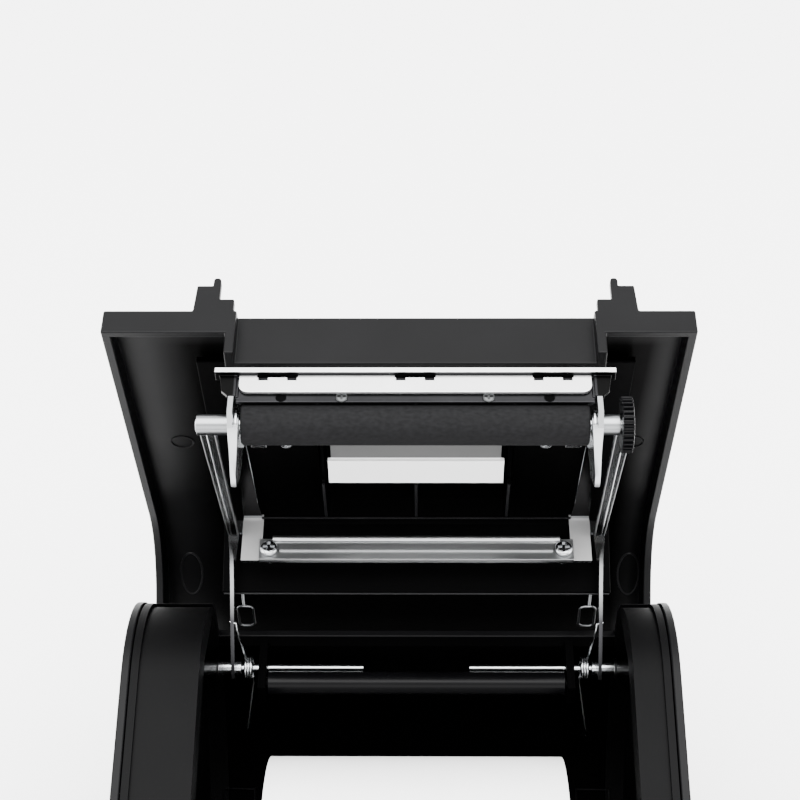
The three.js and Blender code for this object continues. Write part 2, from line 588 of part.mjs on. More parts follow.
addPiece(base, 'feed_button', join(box(40, 54, -158.7, -154.5, -14, -6), box(38, 56, -155.2, -154, -16, -4)),
  black(0.35));
addPiece(base, 'status_lens', join(box(20, 34, -158.2, -154.5, -12, -8), box(18, 36, -155.2, -154, -14, -6)), clear);

// ---- hinge ----
for (const [name, side] of [['hinge_pin_left', -1], ['hinge_pin_right', 1]]) {
  const [inner, step, outer] = [PIN_INNER, SPRING_OUT + 0.4, SHAFT_HALF].map((x) => MECH_X + side * x);
  const [a, b] = [Math.min(inner, step + side), Math.max(inner, step + side)];
  const thin = bar(0, 0, 1, a, b, 20);
  const thick = bar(0, 0, SHAFT_R, Math.min(step, outer), Math.max(step, outer), 20);
  addPiece(base, name, join(thin, thick), steel);
}
for (const [name, side] of [['torsion_spring_left', -1], ['torsion_spring_right', 1]]) {
  const [a, b] = [MECH_X + side * SPRING_IN, MECH_X + side * SPRING_OUT].sort((p, q) => p - q);
  const legX = MECH_X + side * (SPRING_IN + 0.4);
  const coil = bar(0, 0, SPRING_R, a, b, 20);
  const leg = box(legX - 0.4, legX + 0.4, -SPRING_R + 0.2, -SPRING_R + 1, -26, 0);
  addPiece(base, name, cut(join(coil, leg), bar(0, 0, SPRING_R - 1, a - 1, b + 1, 20)), steel);
}
addPiece(base, 'paper_guide_bar', join(
  bar(GUIDE_Y, GUIDE_Z, GUIDE_R, MECH_X - GUIDE_HALF, MECH_X + GUIDE_HALF, 28),
  bar(GUIDE_Y, GUIDE_Z, 1.5, MECH_X - LUG_OUT, MECH_X + LUG_OUT, 20),
), black(0.4));

// ---- print head ----
addPiece(base, 'print_head', box(MECH_X - 40, MECH_X + 40, -118.6, -117.65, -9, HEAD_TOP), clear);
function headSink() {
  const front = -123;
  const back = -118.9;
  const plate = box(MECH_X - HOLDER_HALF, MECH_X + HOLDER_HALF, front, back, -11, HEAD_TOP);
  const ears = pair((a, b) => box(a, b, front, back, HEAD_PIVOT_Z - 2, -10), 24, 26);
  const grooves = [-36, -24, -12, 0, 12, 24, 36].map((x) => (
    box(MECH_X + x - 2, MECH_X + x + 2, front - 1, front + 2, -9, -1)));
  const rodHole = bar(HEAD_PIVOT_Y, HEAD_PIVOT_Z, 1.4, MECH_X - 50, MECH_X + 50, 20);
  return cut(join(plate, ears), ...grooves, rodHole);
}
addPiece(base, 'heat_sink', headSink(), aluminium);
addPiece(base, 'head_pivot_rod',
  bar(HEAD_PIVOT_Y, HEAD_PIVOT_Z, 1.1, MECH_X - SIDE_IN + GAP, MECH_X + SIDE_IN - GAP, 20), steel);
addPiece(base, 'head_spring', join(
  box(MECH_X - 10, MECH_X + 10, -125, -124.4, -20, 0),
  box(MECH_X - 10, MECH_X + 10, -131, -124.4, -20.6, -20),
), steel);

// ---- side frames with the slots that take the platen bushings ----
function sideFrame(x0, x1) {
  const outline = [[-148, -89], [-108.4, -89], [-108.4, -11.8], [-104.4, -11.8], [-104.4, -4], [-107.5, 2],
    [-116.2, -0.6], [-121, -0.6], [-121.6, 6], [-148, 6]];
  const slot = join(bar(PLATEN_Y, PLATEN_Z, BUSH_R + GAP, x0 - 1, x1 + 1),
    box(x0 - 1, x1 + 1, PLATEN_Y - BUSH_R - GAP, PLATEN_Y + BUSH_R + GAP, PLATEN_Z, 20));
  const latchHole = bar(LATCH_Y, LATCH_Z, 1.9, x0 - 1, x1 + 1);
  return cut(across(outline, x0, x1), slot, latchHole);
}
addPiece(base, 'side_frame_left', sideFrame(MECH_X - SIDE_OUT, MECH_X - SIDE_IN), steel);
const rightFrame = cut(sideFrame(MECH_X + SIDE_IN, MECH_X + SIDE_OUT), bar(MOTOR_Y, MOTOR_Z, 3.6, 48, 52));
const reductionAxle = bar(REDUCTION_Y, REDUCTION_Z, 1.2, MECH_X + SIDE_IN + 0.5, 59.2);
addPiece(base, 'side_frame_right', join(rightFrame, reductionAxle), steel);

// ---- paper drive ----
const smallShape = gearAcross(PINION_TEETH, GEAR_MODULE, 0.1, REDUCTION_Y, REDUCTION_Z, MECH_X + GEAR_IN, 56.4);
const largeShape = gearAcross(REDUCTION_TEETH, DRIVE_MODULE, 0, REDUCTION_Y, REDUCTION_Z, 56, 59);
addPiece(base, 'reduction_gear', cut(join(smallShape, largeShape), bar(REDUCTION_Y, REDUCTION_Z, 1.4, 50, 62)),
  { color: 0xe8e6df, roughness: 0.5, metalness: 0 });
// the tooth of the pinion that faces the reduction gear sits in one of its gaps
const towardMotor = Math.atan2(MOTOR_Z - REDUCTION_Z, MOTOR_Y - REDUCTION_Y);
const stepAngle = 2 * Math.PI / REDUCTION_TEETH;
const gapOffset = (towardMotor / stepAngle - Math.floor(towardMotor / stepAngle) - 0.5) * stepAngle;
const motorPhase = towardMotor + Math.PI + gapOffset * REDUCTION_TEETH / MOTOR_TEETH;
const motorGear = gearAcross(MOTOR_TEETH, DRIVE_MODULE, motorPhase, MOTOR_Y, MOTOR_Z, 56.2, 58.8);
addPiece(base, 'motor_pinion', join(motorGear, bar(MOTOR_Y, MOTOR_Z, 1, 48.9, 58)), steel);
addPiece(base, 'stepper_motor', join(
  bar(MOTOR_Y, MOTOR_Z, MOTOR_R, 32, 48.6, 32),
  box(47.4, 48.6, MOTOR_Y - 17, MOTOR_Y + 17, MOTOR_Z - 5, MOTOR_Z + 5),
), darkSteel);

// ---- cutter ----
addPiece(base, 'cutter_tray', cut(
  box(MECH_X - 44, MECH_X + 44, -153, -124.9, BLADE_Z - 2.05, BLADE_Z - 0.45),
  post(CUTTER_X, CUTTER_Y, 2.6, 0, 20),
  box(MECH_X - 44, -20, -153, -149, 0, 20),
), steel);
function cutterBlade() {
  const half = 42;
  const blade = upward([[MECH_X - half, -134], [MECH_X + half, -134], [MECH_X + half, -120.2], [MECH_X, -125.2],
    [MECH_X - half, -120.2]], BLADE_Z, BLADE_Z + BLADE_THICK);
  const rack = [[6, -152], [6, -132]];
  const pitch = Math.PI * RACK_MODULE;
  const inner = RACK_X - RACK_MODULE * 1.2;
  const outer = RACK_X + RACK_MODULE * 0.9;
  rack.push([inner, -132]);
  for (let i = 3; i >= -4; i -= 1) {
    const y = CUTTER_Y - 1 + i * pitch + 0.5 * pitch;
    if (y + 0.29 * pitch > -132.2 || y - 0.29 * pitch < -151.8) continue;
    rack.push([inner, y + 0.29 * pitch], [outer, y + 0.13 * pitch], [outer, y - 0.13 * pitch],
      [inner, y - 0.29 * pitch]);
  }
  rack.push([inner, -152]);
  const carriage = upward(rack.reverse(), BLADE_Z, BLADE_Z + 3);
  return join(blade, carriage);
}
addPiece(base, 'cutter_blade', cutterBlade(), steel);
// the pinion's tooth that faces the rack (towards -x) sits in the gap between two rack teeth at y = CUTTER_Y - 1
const rackGap = 1 / (RACK_MODULE * CUTTER_TEETH / 2);
const cutterPhase = Math.PI + rackGap;
addPiece(base, 'cutter_pinion', join(
  upward(gearShape(CUTTER_TEETH, RACK_MODULE, cutterPhase), BLADE_Z + 0.2, BLADE_Z + 2.8)
    .translate([CUTTER_X, CUTTER_Y, 0]),
  post(CUTTER_X, CUTTER_Y, 1, BLADE_Z - 2.35, BLADE_Z + 1),
), { color: 0xd8b25a, roughness: 0.35, metalness: 1 });
addPiece(base, 'cutter_motor', post(CUTTER_X, CUTTER_Y, 6, -12.6, BLADE_Z - 2.65, 28), darkSteel);

// ---- lid latch and its release button ----
function latchBar() {
  const rod = bar(LATCH_Y, LATCH_Z, 1.5, MECH_X - 48.4, 67.4, 20);
  const hook = [[-139, -47], [-133, -47], [-132.5, -10], [-130, -6.4], [-119, -5], [-115.5, -1.6], [-115.5, 2],
    [-118, 3], [-136, 2], [-139, -2]];
  const hooks = pair((a, b) => across(hook, a, b), SIDE_OUT + GAP, HOOK_OUT);
  const lever = box(63, 67, -151, -135, -46, -43);
  return join(rod, hooks, lever);
}
addPiece(base, 'latch_bar', latchBar(), steel);
addPiece(base, 'release_button', join(
  box(62, 67, -152, -144, 14, 23.5),
  box(63, 67, -151, -147, -42.6, 15),
), black(0.35));

// ---- electronics ----
addPiece(base, 'circuit_board', box(-64, 56, -98, 2, -87, -85.4), board);
for (const [name, [x0, x1]] of Object.entries(SOCKETS)) {
  const shell = box(x0, x1, SOCKET_INNER_Y, REAR_Y - 1.4, SOCKET_LOW, SOCKET_TOP);
  const mouth = box(x0 + 2, x1 - 2, SOCKET_INNER_Y + 4, REACH, SOCKET_LOW + 2, SOCKET_TOP - 2);
  const metal = name === 'usb_socket' || name === 'network_socket';
  addPiece(base, name, cut(shell, mouth), metal ? steel : black(0.4));
}
function rocker() {
  const outline = [[3, -81], [9.6, -81.2], [11.6, -81], [11.2, -77], [9.6, -73], [3, -73.2]];
  return cut(across(outline, -60.2, -48.8), bar(6, -77, 1.2, -61, -48, 16));
}
addPiece(base, 'power_rocker', rocker(), black(0.3));

// ---- paper ----
addPiece(base, 'paper_roll', cut(
  bar(ROLL_Y, ROLL_Z, ROLL_R, MECH_X - ROLL_HALF, MECH_X + ROLL_HALF, 64),
  bar(ROLL_Y, ROLL_Z, CORE_R + GAP, MECH_X - 50, MECH_X + 50, 32),
), paper);
addPiece(base, 'roll_core', cut(
  bar(ROLL_Y, ROLL_Z, CORE_R, MECH_X - ROLL_HALF, MECH_X + ROLL_HALF, 32),
  bar(ROLL_Y, ROLL_Z, CORE_BORE_R, MECH_X - 50, MECH_X + 50, 32),
), cardboard);

export default printer;
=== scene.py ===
"""Looks of the receipt printer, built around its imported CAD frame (Blender 4.5, metres)."""
import math

import bmesh
import bpy
from mathutils import Matrix, Vector


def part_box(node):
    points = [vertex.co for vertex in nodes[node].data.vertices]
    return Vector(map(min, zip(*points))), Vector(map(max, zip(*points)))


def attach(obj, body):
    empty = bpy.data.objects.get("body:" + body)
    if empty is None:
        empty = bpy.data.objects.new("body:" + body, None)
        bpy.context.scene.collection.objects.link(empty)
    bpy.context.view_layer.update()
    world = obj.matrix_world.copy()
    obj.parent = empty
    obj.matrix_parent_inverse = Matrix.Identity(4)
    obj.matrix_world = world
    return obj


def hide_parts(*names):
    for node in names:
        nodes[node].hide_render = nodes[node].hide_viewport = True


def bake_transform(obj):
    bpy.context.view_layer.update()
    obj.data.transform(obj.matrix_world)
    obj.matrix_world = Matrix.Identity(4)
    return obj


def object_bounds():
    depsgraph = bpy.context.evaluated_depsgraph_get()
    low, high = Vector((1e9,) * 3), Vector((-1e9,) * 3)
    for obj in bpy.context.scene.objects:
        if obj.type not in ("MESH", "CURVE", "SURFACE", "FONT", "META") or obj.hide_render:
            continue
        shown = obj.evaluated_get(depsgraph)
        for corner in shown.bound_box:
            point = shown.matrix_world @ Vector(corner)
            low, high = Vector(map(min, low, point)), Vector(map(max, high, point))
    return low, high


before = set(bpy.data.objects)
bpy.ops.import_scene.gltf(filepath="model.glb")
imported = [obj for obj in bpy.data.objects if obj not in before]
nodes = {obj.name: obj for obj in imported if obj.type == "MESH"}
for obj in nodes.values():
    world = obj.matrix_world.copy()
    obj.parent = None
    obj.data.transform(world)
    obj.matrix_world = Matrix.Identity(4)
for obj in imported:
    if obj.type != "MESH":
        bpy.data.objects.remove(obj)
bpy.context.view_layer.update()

MM = 0.001
LID_OPEN = math.radians(90)

# ---- places taken from the frame ----


def middle(node):
    """The centre of a CAD node's box, in the row frame."""
    low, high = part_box(node)
    return (Vector(low) + Vector(high)) / 2


HINGE = Vector((0, middle("hinge_pin_left").y, middle("hinge_pin_left").z))
MECH = middle("platen_roller").x / MM          # middle of the print mechanism, mm
# pieces are drawn in millimetres around the hinge axis, with the lid shut
BASE_FRAME = Matrix.Translation(HINGE) @ Matrix.Scale(MM, 4)
LID_FRAME = Matrix.Translation(HINGE) @ Matrix.Rotation(-LID_OPEN, 4, "X") @ Matrix.Scale(MM, 4)


def local_box(node, space):
    """A node's lowest and highest corner in the millimetres of `space`."""
    corners = [space.inverted() @ Vector(corner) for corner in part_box(node)]
    low = Vector([min(corners[0][i], corners[1][i]) for i in range(3)])
    high = Vector([max(corners[0][i], corners[1][i]) for i in range(3)])
    return low, high


def row_x(offset):
    """`offset` mm from the mechanism's middle, in the row frame's metres."""
    return (MECH + offset) * MM


def row_z(height):
    """`height` mm above the hinge axis, in the row frame's metres."""
    return HINGE.z + height * MM


# ---- camera, floor and light ----


def set_camera():
    camera = bpy.data.objects.new("camera", bpy.data.cameras.new("camera"))
    bpy.context.scene.collection.objects.link(camera)
    place = Matrix.Translation(HINGE + Vector((0.0056, -0.270, 0.440)))
    aim = Matrix.Rotation(math.radians(40), 4, "X") @ Matrix.Rotation(math.radians(0.7), 4, "Y")
    camera.matrix_world = place @ aim
    camera.data.lens = 81                       # long lens on a 36 mm sensor
    camera.data.sensor_width = 36
    camera.data.clip_start = 0.02
    bpy.context.scene.camera = camera


def set_floor():
    low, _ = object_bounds()
    mesh = bpy.data.meshes.new("floor")
    bm = bmesh.new()
    bmesh.ops.create_grid(bm, x_segments=2, y_segments=2, size=6)
    bm.to_mesh(mesh)
    bm.free()
    floor = bpy.data.objects.new("floor", mesh)
    floor.location.z = low[2]
    bpy.context.scene.collection.objects.link(floor)
    look = bpy.data.materials.new("floor")
    look.use_nodes = True
    shader = look.node_tree.nodes["Principled BSDF"]
    shader.inputs["Base Color"].default_value = (0.93, 0.93, 0.93, 1)
    shader.inputs["Roughness"].default_value = 0.9
    mesh.materials.append(look)


def add_softbox(name, place, aim, size, power):
    data = bpy.data.lights.new(name, "AREA")
    data.shape = "RECTANGLE"
    data.size, data.size_y = size
    data.energy = power
    light = bpy.data.objects.new(name, data)
    light.location = place
    light.rotation_euler = (Vector(aim) - Vector(place)).to_track_quat("-Z", "Y").to_euler()
    bpy.context.scene.collection.objects.link(light)


def set_light():
    world = bpy.data.worlds.new("studio")
    world.use_nodes = True
    background = world.node_tree.nodes["Background"]
    background.inputs["Color"].default_value = (1, 1, 1, 1)
    background.inputs["Strength"].default_value = 3.2
    bpy.context.scene.world = world
    add_softbox("top_softbox", (0, 0.1, 1.3), (0, 0, 0.1), (1.6, 1.2), 75)
    add_softbox("front_softbox", (0, -1.2, 0.7), (0, 0, 0.15), (1.4, 0.8), 12)
    for name, side in (("left_softbox", -1), ("right_softbox", 1)):
        add_softbox(name, (side * 1.1, -0.2, 0.6), (0, 0, 0.15), (0.7, 0.9), 12)


set_camera()
set_floor()
set_light()

# ---- materials ----

ROUGH_RANGE = 0.06          # how far the roughness of a finish strays to either side
SMOOTHEST = 0.03            # least roughness of any finish


def finish_of(name, colour, roughness, metallic=0.0, *, contrast=0.12, patch=60, grain=2500, bump=0.15,
              depth=0.02, stretch=(1, 1, 1), coat=0.0, specular=0.5):
    """A procedural finish: patchy colour and roughness at a large scale, and fine grain in the surface."""
    look = bpy.data.materials.new(name)
    look.use_nodes = True
    tree = look.node_tree
    shader = tree.nodes["Principled BSDF"]
    shader.inputs["Metallic"].default_value = metallic
    shader.inputs["Coat Weight"].default_value = coat
    shader.inputs["Specular IOR Level"].default_value = specular
    place = tree.nodes.new("ShaderNodeTexCoord")
    stretched = tree.nodes.new("ShaderNodeMapping")
    stretched.inputs["Scale"].default_value = stretch
    tree.links.new(place.outputs["Object"], stretched.inputs["Vector"])
    patches = tree.nodes.new("ShaderNodeTexNoise")
    patches.inputs["Scale"].default_value = patch
    patches.inputs["Detail"].default_value = 4
    tree.links.new(stretched.outputs["Vector"], patches.inputs["Vector"])
    shades = tree.nodes.new("ShaderNodeValToRGB")
    shades.color_ramp.elements[0].position = 0.3
    shades.color_ramp.elements[1].position = 0.7
    shades.color_ramp.elements[0].color = (*[channel * (1 - contrast) for channel in colour], 1)
    shades.color_ramp.elements[1].color = (*[min(channel * (1 + contrast), 1) for channel in colour], 1)
    tree.links.new(patches.outputs["Fac"], shades.inputs["Fac"])
    tree.links.new(shades.outputs["Color"], shader.inputs["Base Color"])
    gloss = tree.nodes.new("ShaderNodeMapRange")
    gloss.inputs["To Min"].default_value = max(roughness - ROUGH_RANGE, SMOOTHEST)
    gloss.inputs["To Max"].default_value = roughness + ROUGH_RANGE
    tree.links.new(patches.outputs["Fac"], gloss.inputs["Value"])
    tree.links.new(gloss.outputs["Result"], shader.inputs["Roughness"])
    grains = tree.nodes.new("ShaderNodeTexNoise")
    grains.inputs["Scale"].default_value = grain
    grains.inputs["Detail"].default_value = 2
    tree.links.new(stretched.outputs["Vector"], grains.inputs["Vector"])
    relief = tree.nodes.new("ShaderNodeBump")
    relief.inputs["Strength"].default_value = bump
    relief.inputs["Distance"].default_value = depth * MM
    tree.links.new(grains.outputs["Fac"], relief.inputs["Height"])
    tree.links.new(relief.outputs["Normal"], shader.inputs["Normal"])
    return look


# mouldings: black plastic with a fine spark-eroded grain
HOUSING = finish_of("moulded_black", (0.0016, 0.0016, 0.0018), 0.42, grain=3200, bump=0.35, depth=0.05,
                    specular=0.068)
INNER = finish_of("inner_black", (0.0004, 0.0004, 0.00045), 0.5, grain=3200, bump=0.3, depth=0.04,
                  specular=0.01)
CHEEK = finish_of("cheek_black", (0.0009, 0.0009, 0.001), 0.5, grain=3200, bump=0.35, depth=0.05,
                  specular=0.038)
GLOSS_BLACK = finish_of("gloss_black", (0.0012, 0.0012, 0.0014), 0.25, grain=2600, bump=0.08, specular=0.06)
# painted highlight: a lighter black for rounded edges, standing in for the light they catch
EDGE_HIGHLIGHT = finish_of("painted_edge_highlight", (0.006, 0.006, 0.0065), 0.4, grain=2600, bump=0.1, specular=0.12)
NATURAL = finish_of("natural_plastic", (0.78, 0.76, 0.7), 0.45, contrast=0.04, grain=2400)
# metals
CHROME = finish_of("bright_steel", (0.4, 0.41, 0.42), 0.18, 1.0, grain=900, stretch=(0.15, 1, 1), bump=0.12)
DULL_STEEL = finish_of("dull_steel", (0.13, 0.133, 0.137), 0.3, 1.0, grain=1500, bump=0.15)
OILED_STEEL = finish_of("oiled_steel", (0.04, 0.041, 0.042), 0.25, 1.0, grain=1500, bump=0.15)
DARK_STEEL = finish_of("dark_steel", (0.018, 0.018, 0.019), 0.34, 1.0, grain=2200, bump=0.15)
ALUMINIUM = finish_of("milled_aluminium", (0.62, 0.63, 0.65), 0.36, 1.0, grain=2600, stretch=(0.1, 1, 1),
                      bump=0.25)
BRASS = finish_of("brass", (0.7, 0.48, 0.2), 0.3, 1.0, grain=1800)
RAIL = finish_of("rolled_rail", (0.36, 0.365, 0.37), 0.36, 1.0, grain=2600, stretch=(0.05, 1, 1), bump=0.2)
KNIFE = finish_of("ground_knife", (0.72, 0.72, 0.72), 0.34, 1.0, contrast=0.03, grain=2600,
                  stretch=(1, 1, 0.1))
# the rest
RUBBER = finish_of("ground_rubber", (0.0042, 0.0042, 0.0045), 0.75, contrast=0.35, patch=1400, grain=1700,
                   bump=0.9, depth=0.08, stretch=(0.6, 1, 1), specular=0.05)
PAPER = finish_of("thermal_paper", (0.86, 0.86, 0.86), 0.7, contrast=0.015, grain=5000, specular=0.3)
LABEL = finish_of("blank_label", (0.75, 0.75, 0.74), 0.5, contrast=0.03, grain=2600, bump=0.05)
CARDBOARD = finish_of("cardboard", (0.42, 0.3, 0.18), 0.85, contrast=0.15, grain=1500, bump=0.5, depth=0.05)
BOARD = finish_of("circuit_board", (0.012, 0.1, 0.035), 0.35, contrast=0.2, grain=1200, coat=0.4)
CERAMIC = finish_of("glazed_ceramic", (0.5, 0.36, 0.22), 0.15, contrast=0.05, coat=0.5)
LENS = finish_of("smoked_lens", (0.03, 0.03, 0.035), 0.12, contrast=0.05, coat=0.6, bump=0.02)
LIGHTS = [finish_of(f"status_{tint}", colour, 0.2, contrast=0.04, coat=0.5) for tint, colour in
          (("green", (0.03, 0.3, 0.06)), ("amber", (0.5, 0.2, 0.02)), ("red", (0.4, 0.02, 0.02)))]

SLOT_LOOKS = {
    "housing": HOUSING, "inner_plastic": INNER, "gloss_black": GLOSS_BLACK, "natural_plastic": NATURAL,
    "steel": CHROME, "dark_steel": DARK_STEEL, "aluminium": ALUMINIUM, "brass": BRASS, "rubber": RUBBER,
    "paper": PAPER, "label": PAPER, "cardboard": CARDBOARD, "board": BOARD, "ceramic": CERAMIC,
    "lens": LENS,
}

# ---- the CAD nodes: welded, smoothed where they are round, and softened along their edges ----

SMOOTH_BELOW = math.radians(30)      # faces that meet at less than this are shaded as one
MERGE = 0.002 * MM                   # corners nearer than this are one


def soft_shading_group():
    """A node group that welds a faceted mesh and shades it smooth up to SMOOTH_BELOW."""
    group = bpy.data.node_groups.new("soft_shading", "GeometryNodeTree")
    group.interface.new_socket("Geometry", in_out="INPUT", socket_type="NodeSocketGeometry")
    group.interface.new_socket("Geometry", in_out="OUTPUT", socket_type="NodeSocketGeometry")
    start = group.nodes.new("NodeGroupInput")
    weld = group.nodes.new("GeometryNodeMergeByDistance")
    weld.inputs["Distance"].default_value = MERGE
    faces = group.nodes.new("GeometryNodeSetShadeSmooth")
    edges = group.nodes.new("GeometryNodeSetShadeSmooth")
    edges.domain = "EDGE"
    edges.inputs["Shade Smooth"].default_value = False
    angle = group.nodes.new("GeometryNodeInputMeshEdgeAngle")
    sharp = group.nodes.new("FunctionNodeCompare")
    sharp.operation = "GREATER_THAN"
    sharp.inputs["B"].default_value = SMOOTH_BELOW
    end = group.nodes.new("NodeGroupOutput")
    group.links.new(start.outputs[0], weld.inputs["Geometry"])
    group.links.new(weld.outputs["Geometry"], faces.inputs["Geometry"])
    group.links.new(faces.outputs["Geometry"], edges.inputs["Geometry"])
    group.links.new(angle.outputs["Unsigned Angle"], sharp.inputs["A"])
    group.links.new(sharp.outputs["Result"], edges.inputs["Selection"])
    group.links.new(edges.outputs["Geometry"], end.inputs[0])
    return group


SOFT_SHADING = soft_shading_group()


def shade(obj, width):
    """Shades round faces smooth and bevels the other edges `width` mm wide."""
    smooth = obj.modifiers.new("smooth", "NODES")
    smooth.node_group = SOFT_SHADING
    if width:
        bevel = obj.modifiers.new("bevel", "BEVEL")
        bevel.width = width * MM
        bevel.segments = 2
        bevel.limit_method = "ANGLE"
        bevel.angle_limit = SMOOTH_BELOW
        bevel.harden_normals = True


def soften(obj, width):
    """Merges the coplanar triangles of a CAD node, then shades and bevels it."""
    weld = obj.modifiers.new("weld", "WELD")
    weld.merge_threshold = MERGE
    flats = obj.modifiers.new("flats", "DECIMATE")
    flats.decimate_type = "DISSOLVE"
    flats.angle_limit = math.radians(0.4)
    shade(obj, width)


# bevel of each slot's CAD nodes, mm
EDGE_WIDTH = {
    "housing": 0.45, "inner_plastic": 0.35, "gloss_black": 0.3, "steel": 0.12, "dark_steel": 0.15,
    "aluminium": 0.15, "natural_plastic": 0.06, "brass": 0.06, "rubber": 0.4, "paper": 0.05, "label": 0.12,
    "cardboard": 0.2, "board": 0.1, "ceramic": 0.08, "lens": 0.25,
}
for node_name, node in nodes.items():
    slot_name = node.data.materials[0].name
    node.data.materials[0] = SLOT_LOOKS[slot_name]
    soften(node, EDGE_WIDTH[slot_name])

# ---- mesh building, in the millimetres of BASE_FRAME or LID_FRAME ----


def block(bm, low, high):
    """An upright block between two corners."""
    low, high = Vector(low), Vector(high)
    made = bmesh.ops.create_cube(bm, size=1)
    bmesh.ops.scale(bm, vec=high - low, verts=made["verts"])
    bmesh.ops.translate(bm, vec=(low + high) / 2, verts=made["verts"])


def lathe(bm, profile, centre, axis="X", segments=48):
    """A closed profile of (distance along the axis, radius) points, turned about an axis."""
    turn = {"X": Matrix.Identity(4), "Y": Matrix.Rotation(math.radians(90), 4, "Z"),
            "Z": Matrix.Rotation(math.radians(-90), 4, "Y")}[axis]
    rings = []
    for i in range(segments):
        angle = 2 * math.pi * i / segments
        ring = []
        for along, radius in profile:
            point = turn @ Vector((along, radius * math.cos(angle), radius * math.sin(angle)))
            ring.append(bm.verts.new(Vector(centre) + point))
        rings.append(ring)
    for i, ring in enumerate(rings):
        following = rings[(i + 1) % segments]
        for j in range(len(profile)):
            k = (j + 1) % len(profile)
            bm.faces.new((ring[j], ring[k], following[k], following[j]))


def disc(bm, profile, centre, axis="X", segments=48):
    """A solid of revolution whose profile starts and ends on the axis."""
    before = set(bm.verts)
    lathe(bm, [(along, max(radius, 1e-5)) for along, radius in profile], centre, axis, segments)
    made = [vert for vert in bm.verts if vert not in before]
    bmesh.ops.remove_doubles(bm, verts=made, dist=1e-3)


def prism(bm, outline, axis, start, end):
    """An outline pushed along one axis. The outline's pairs are the other two coordinates, in order."""
    def place(pair, depth):
        point = list(pair)
        point.insert("XYZ".index(axis), depth)
        return bm.verts.new(point)
    near = [place(pair, start) for pair in outline]
    far = [place(pair, end) for pair in outline]
    bm.faces.new(near)
    bm.faces.new(reversed(far))
    for i in range(len(outline)):
        j = (i + 1) % len(outline)
        bm.faces.new((near[i], far[i], far[j], near[j]))


def wire(bm, points, radius, sides=12, closed=False):
    """A round wire through the points."""
    points = [Vector(point) for point in points]
    count = len(points)
    rings = []
    normal = None
    for i, point in enumerate(points):
        ahead = points[(i + 1) % count] if closed else points[min(i + 1, count - 1)]
        behind = points[i - 1] if closed else points[max(i - 1, 0)]
        tangent = (ahead - behind).normalized()
        if normal is None:
            normal = tangent.orthogonal().normalized()
        normal = (normal - tangent * normal.dot(tangent)).normalized()
        side = tangent.cross(normal)
        ring = []
        for j in range(sides):
            angle = 2 * math.pi * j / sides
            ring.append(bm.verts.new(point + (normal * math.cos(angle) + side * math.sin(angle)) * radius))
        rings.append(ring)
    for i in range(count if closed else count - 1):
        first, second = rings[i], rings[(i + 1) % count]
        offset = 0
        if closed and i == count - 1:
            offset = min(range(sides), key=lambda k: (first[0].co - second[k].co).length)
        for j in range(sides):
            k = (j + 1) % sides
            bm.faces.new((first[j], first[k], second[(k + offset) % sides], second[(j + offset) % sides]))
    if not closed:
        bm.faces.new(reversed(rings[0]))
        bm.faces.new(rings[-1])


def carve(bm, cutter):
    """bm with the closed shape in `cutter` taken out of it."""
    objects = []
    for shape in (bm, cutter):
        bmesh.ops.recalc_face_normals(shape, faces=shape.faces)
        mesh = bpy.data.meshes.new("carving")
        shape.to_mesh(mesh)
        obj = bpy.data.objects.new("carving", mesh)
        bpy.context.scene.collection.objects.link(obj)
        objects.append(obj)
    boolean = objects[0].modifiers.new("cut", "BOOLEAN")
    boolean.operation = "DIFFERENCE"
    boolean.solver = "EXACT"
    boolean.object = objects[1]
    bpy.context.view_layer.update()
    depsgraph = bpy.context.evaluated_depsgraph_get()
    carved = bpy.data.meshes.new_from_object(objects[0].evaluated_get(depsgraph))
    bm.clear()
    bm.from_mesh(carved)
    cutter.free()
    for obj in objects:
        bpy.data.objects.remove(obj)
    bpy.data.meshes.remove(carved)


def add_piece(name, bm, space, body, look, replaced=(), edge=0.0):
    """Turns the mesh into a piece in the row frame that rides on `body`, bevelled `edge` mm wide."""
    bmesh.ops.recalc_face_normals(bm, faces=bm.faces)
    mesh = bpy.data.meshes.new(name)
    bm.to_mesh(mesh)
    bm.free()
    mesh.transform(space)
    mesh.materials.append(look)
    piece = bpy.data.objects.new(name, mesh)
    bpy.context.scene.collection.objects.link(piece)
    shade(piece, edge)
    if body:
        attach(piece, body)
    if replaced:
        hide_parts(*replaced)
    return piece


def pan_head(bm, centre, axis, radius, height, outward):
    """A domed screw head with a cross recess, standing `outward` (+1 or -1) along its axis."""
    rim, flat, steps = 0.25, 0.35, 6         # the rim's share of the height, the flat top's of the radius
    dome = [(0, 0), (0, radius * 0.97), (height * rim, radius)]
    for i in range(1, steps + 1):
        angle = math.pi / 2 * i / steps
        dome.append((height * (rim + (1 - rim) * math.sin(angle)),
                     radius * (flat + (1 - flat) * math.cos(angle))))
    dome.append((height, 0))
    disc(bm, [(along * outward, r) for along, r in dome], centre, axis, 32)
    reach, half, depth = radius * 0.66, radius * 0.17, height * 0.6
    along = "XYZ".index(axis)
    middle_u, middle_v = [centre[i] for i in range(3) if i != along]
    plus = ((reach, -half), (reach, half), (half, half), (half, reach), (-half, reach), (-half, half),
            (-reach, half), (-reach, -half), (-half, -half), (-half, -reach), (half, -reach), (half, -half))
    cross = bmesh.new()
    prism(cross, [(middle_u + u, middle_v + v) for u, v in plus], axis,
          centre[along] + outward * (height - depth), centre[along] + outward * (height + 1))
    carve(bm, cross)


# ---- lid: platen, knife, rail and plate details ----

PLATEN_LOW, PLATEN_HIGH = local_box("platen_roller", LID_FRAME)
PLATEN_Y = (PLATEN_LOW.y + PLATEN_HIGH.y) / 2
PLATEN_Z = (PLATEN_LOW.z + PLATEN_HIGH.z) / 2
PLATEN_R = (PLATEN_HIGH.y - PLATEN_LOW.y) / 2
BUSH_LOW, BUSH_HIGH = local_box("bushing_left", LID_FRAME)
BUSH_R = (BUSH_HIGH.y - BUSH_LOW.y) / 2


